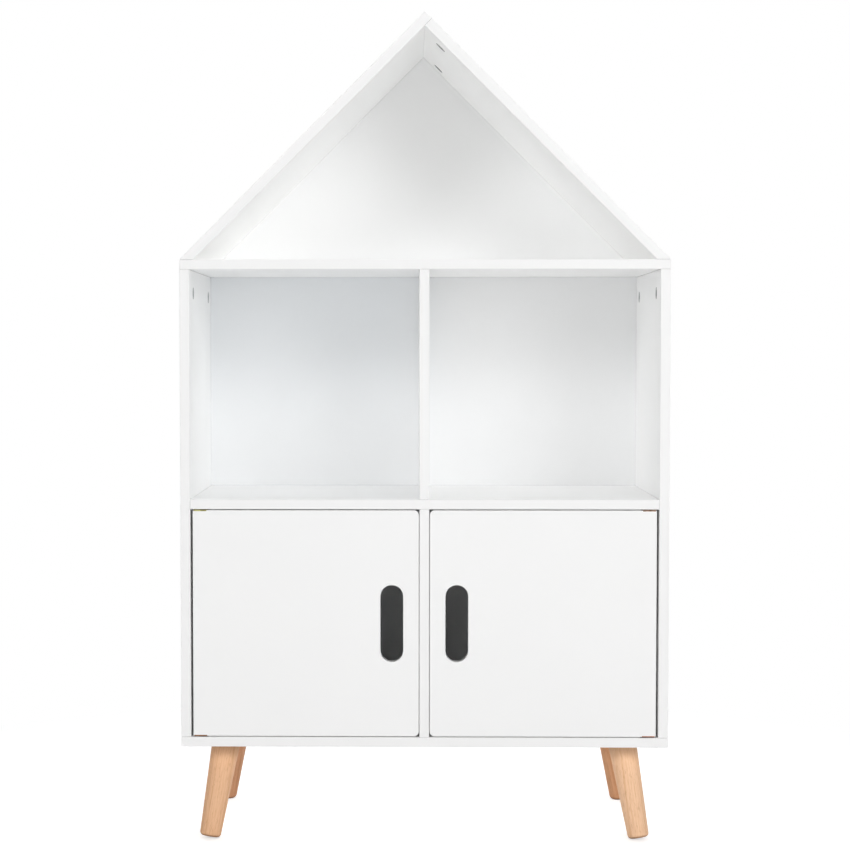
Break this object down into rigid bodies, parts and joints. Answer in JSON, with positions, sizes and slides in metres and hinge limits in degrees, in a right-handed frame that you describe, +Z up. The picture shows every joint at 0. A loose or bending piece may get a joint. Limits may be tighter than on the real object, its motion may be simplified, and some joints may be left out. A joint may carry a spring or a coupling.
{
  "type": "house shaped bookcase",
  "caption": "House shaped white bookcase for a child's room: gabled top shelf, open compartments, inset doors with finger slots on pivot hinges, and splayed wooden legs.",
  "frame": {"origin": "on the floor, under the middle of the case", "axes": "+X to the right seen from the front, +Y to the rear, +Z up; the doors face -Y"},
  "size_m": [0.6, 0.3, 1.02],
  "materials": {
    "white_board": "white satin melamine on particle board, edges banded in the same white",
    "back_board": "thin white lacquered fibreboard, smooth and matt",
    "leg_wood": "turned natural wood under clear matt lacquer, fine straight grain",
    "dowel_wood": "raw beech dowel",
    "zinc_steel": "bright zinc, slightly dull",
    "brass": "plain stamped brass, lightly tarnished",
    "catch_plastic": "moulded white plastic, fine matt",
    "magnet": "dark grey sintered ferrite"
  },
  "bodies": {
    "carcass": {"bottom_panel": "white_board", "left_side_panel": "white_board", "right_side_panel": "white_board", "deck_panel": "white_board", "middle_shelf": "white_board", "upper_divider": "white_board", "lower_divider": "white_board", "left_roof_panel": "white_board", "right_roof_panel": "white_board", "body_back_panel": "back_board", "roof_back_panel": "back_board", "front_left_leg": "leg_wood", "front_right_leg": "leg_wood", "rear_left_leg": "leg_wood", "rear_right_leg": "leg_wood", "leg_bolts": "zinc_steel", "leg_tee_nuts": "zinc_steel", "side_cams": "zinc_steel", "side_cam_bolts": "zinc_steel", "side_dowels": "dowel_wood", "roof_cams": "zinc_steel", "roof_cam_bolts": "zinc_steel", "roof_dowels": "dowel_wood", "shelf_screws": "zinc_steel", "divider_screws": "zinc_steel", "divider_dowels": "dowel_wood", "roof_foot_screws": "zinc_steel", "left_top_pivot_plate": "brass", "left_bottom_pivot_plate": "brass", "right_top_pivot_plate": "brass", "right_bottom_pivot_plate": "brass", "pivot_pins": "brass", "pivot_plate_screws": "brass", "left_catch_housing": "catch_plastic", "right_catch_housing": "catch_plastic", "catch_magnets": "magnet", "catch_screws": "zinc_steel"},
    "left_door_body": {"left_door": "white_board", "left_top_door_leaf": "brass", "left_bottom_door_leaf": "brass", "left_leaf_screws": "brass", "left_strike_plate": "zinc_steel", "left_strike_screw": "zinc_steel"},
    "right_door_body": {"right_door": "white_board", "right_top_door_leaf": "brass", "right_bottom_door_leaf": "brass", "right_leaf_screws": "brass", "right_strike_plate": "zinc_steel", "right_strike_screw": "zinc_steel"}
  },
  "joints": [
    {"name": "left_door_hinge", "type": "hinge", "parent": "carcass", "child": "left_door_body", "pos_m": [-0.277, -0.144, 0.273], "axis": [0, 0, -1], "range_deg": [0, 120]},
    {"name": "right_door_hinge", "type": "hinge", "parent": "carcass", "child": "right_door_body", "pos_m": [0.277, -0.144, 0.273], "axis": [0, 0, 1], "range_deg": [0, 120]}
  ]
}
